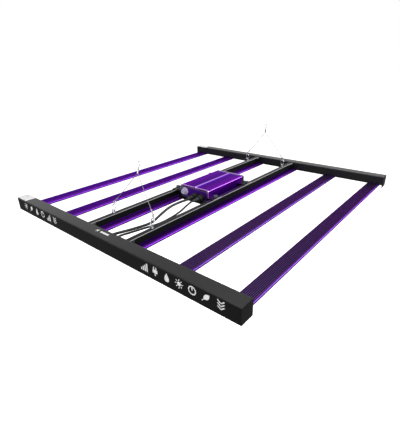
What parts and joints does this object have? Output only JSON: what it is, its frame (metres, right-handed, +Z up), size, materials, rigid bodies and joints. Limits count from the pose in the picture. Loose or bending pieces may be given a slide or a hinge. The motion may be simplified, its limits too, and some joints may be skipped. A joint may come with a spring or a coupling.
{
  "type": "led grow light",
  "caption": "Hanging LED grow light: finned light bars between two cross beams, a power supply on carrier rails, and wire hangers with snap hooks.",
  "frame": {"origin": "centre of the footprint, on the undersides of the two cross beams", "axes": "+X along the cross beams, +Y from the front beam to the back beam along the light bars, +Z up, away from the lit side"},
  "size_m": [1.035, 1.107, 0.2382],
  "materials": {
    "beam": "satin black powder coat",
    "cover": "plain mill finish",
    "label": "white film",
    "bar": "violet anodised",
    "board": "white solder mask",
    "lens": "clear moulded",
    "steel": "zinc plated",
    "rail": "satin black powder coat",
    "bracket": "grey zinc",
    "case": "glossy violet anodised",
    "plate": "violet anodised",
    "black_plastic": "fine textured",
    "pcb": "green solder mask",
    "parts": "moulded",
    "knob": "pale moulded",
    "dial": "pale film",
    "rope": "stranded wire rope",
    "ferrule": "bright crimped",
    "hook": "bright",
    "lead": "matte black",
    "wiring": "mixed"
  },
  "bodies": {
    "fixture": {"front_beam": "beam", "back_beam": "beam", "end_caps": "beam", "wiring_covers": "cover", "rating_labels": "label", "led_bar_1": "bar", "led_bar_2": "bar", "led_bar_3": "bar", "led_bar_4": "bar", "led_bar_5": "bar", "led_bar_6": "bar", "led_board_1": "board", "led_board_2": "board", "led_board_3": "board", "led_board_4": "board", "led_board_5": "board", "led_board_6": "board", "lens_strips": "lens", "bar_screws": "steel", "rail_left": "rail", "rail_right": "rail", "rail_brackets": "bracket", "rail_bolts": "steel", "hanging_eyes": "steel", "driver_case": "case", "driver_front_plate": "plate", "driver_back_cap": "black_plastic", "driver_screws": "steel", "strap_front": "rail", "strap_back": "rail", "driver_board": "pcb", "driver_components": "parts", "dimmer_pot": "parts", "dial_plate": "dial", "output_sockets": "black_plastic", "lead_boots": "black_plastic", "mains_inlet": "black_plastic", "beam_glands": "black_plastic", "lead_left": "lead", "lead_right": "lead", "beam_wiring": "wiring"},
    "dimmer": {"dimmer_knob": "knob", "dimmer_shaft": "steel"},
    "thumb_1": {"thumb_screw_1": "steel"},
    "thumb_2": {"thumb_screw_2": "steel"},
    "thumb_3": {"thumb_screw_3": "steel"},
    "thumb_4": {"thumb_screw_4": "steel"},
    "nut_left": {"coupling_nut_left": "black_plastic"},
    "nut_right": {"coupling_nut_right": "black_plastic"},
    "front_hanger": {"front_rope": "rope", "front_ferrules": "ferrule", "front_hooks": "hook"},
    "back_hanger": {"back_rope": "rope", "back_ferrules": "ferrule", "back_hooks": "hook"},
    "gate_fl": {"front_gate_left": "hook"},
    "gate_fr": {"front_gate_right": "hook"},
    "gate_bl": {"back_gate_left": "hook"},
    "gate_br": {"back_gate_right": "hook"}
  },
  "joints": [
    {"name": "front_hanger_swing", "type": "hinge", "parent": "fixture", "child": "front_hanger", "pos_m": [0, -0.4145, 0.0523], "axis": [1, 0, 0], "range_deg": [-70, 105]},
    {"name": "back_hanger_swing", "type": "hinge", "parent": "fixture", "child": "back_hanger", "pos_m": [0, 0.4145, 0.0523], "axis": [1, 0, 0], "range_deg": [-90, 86]},
    {"name": "front_left_gate", "type": "hinge", "parent": "front_hanger", "child": "gate_fl", "pos_m": [-0.10265, -0.40953, 0.06856], "axis": [0, -0.9563, 0.2924], "range_deg": [0, 30], "stiffness_Nm_per_rad": 0.0004, "springref_deg": -11.46},
    {"name": "front_right_gate", "type": "hinge", "parent": "front_hanger", "child": "gate_fr", "pos_m": [0.10265, -0.40953, 0.06856], "axis": [0, 0.9563, -0.2924], "range_deg": [0, 30], "stiffness_Nm_per_rad": 0.0004, "springref_deg": -11.46},
    {"name": "back_left_gate", "type": "hinge", "parent": "back_hanger", "child": "gate_bl", "pos_m": [-0.10265, 0.41391, 0.06929], "axis": [0, -0.9994, -0.0349], "range_deg": [0, 30], "stiffness_Nm_per_rad": 0.0004, "springref_deg": -11.46},
    {"name": "back_right_gate", "type": "hinge", "parent": "back_hanger", "child": "gate_br", "pos_m": [0.10265, 0.41391, 0.06929], "axis": [0, 0.9994, 0.0349], "range_deg": [0, 30], "stiffness_Nm_per_rad": 0.0004, "springref_deg": -11.46},
    {"name": "dimmer_turn", "type": "hinge", "parent": "fixture", "child": "dimmer", "pos_m": [-0.049, -0.106, 0.0455], "axis": [0, -1, 0], "range_deg": [-270, 0]},
    {"name": "thumb_screw_1_turn", "type": "hinge", "parent": "fixture", "child": "thumb_1", "pos_m": [-0.09615, -0.098, 0.047], "axis": [0, 0, 1], "continuous": true},
    {"name": "thumb_screw_2_turn", "type": "hinge", "parent": "fixture", "child": "thumb_2", "pos_m": [0.09615, -0.098, 0.047], "axis": [0, 0, 1], "continuous": true},
    {"name": "thumb_screw_3_turn", "type": "hinge", "parent": "fixture", "child": "thumb_3", "pos_m": [-0.09615, 0.11, 0.047], "axis": [0, 0, 1], "continuous": true},
    {"name": "thumb_screw_4_turn", "type": "hinge", "parent": "fixture", "child": "thumb_4", "pos_m": [0.09615, 0.11, 0.047], "axis": [0, 0, 1], "continuous": true},
    {"name": "coupling_nut_left_turn", "type": "hinge", "parent": "fixture", "child": "nut_left", "pos_m": [0.011, -0.121, 0.04], "axis": [0, -1, 0], "continuous": true},
    {"name": "coupling_nut_right_turn", "type": "hinge", "parent": "fixture", "child": "nut_right", "pos_m": [0.04, -0.121, 0.04], "axis": [0, -1, 0], "continuous": true}
  ]
}
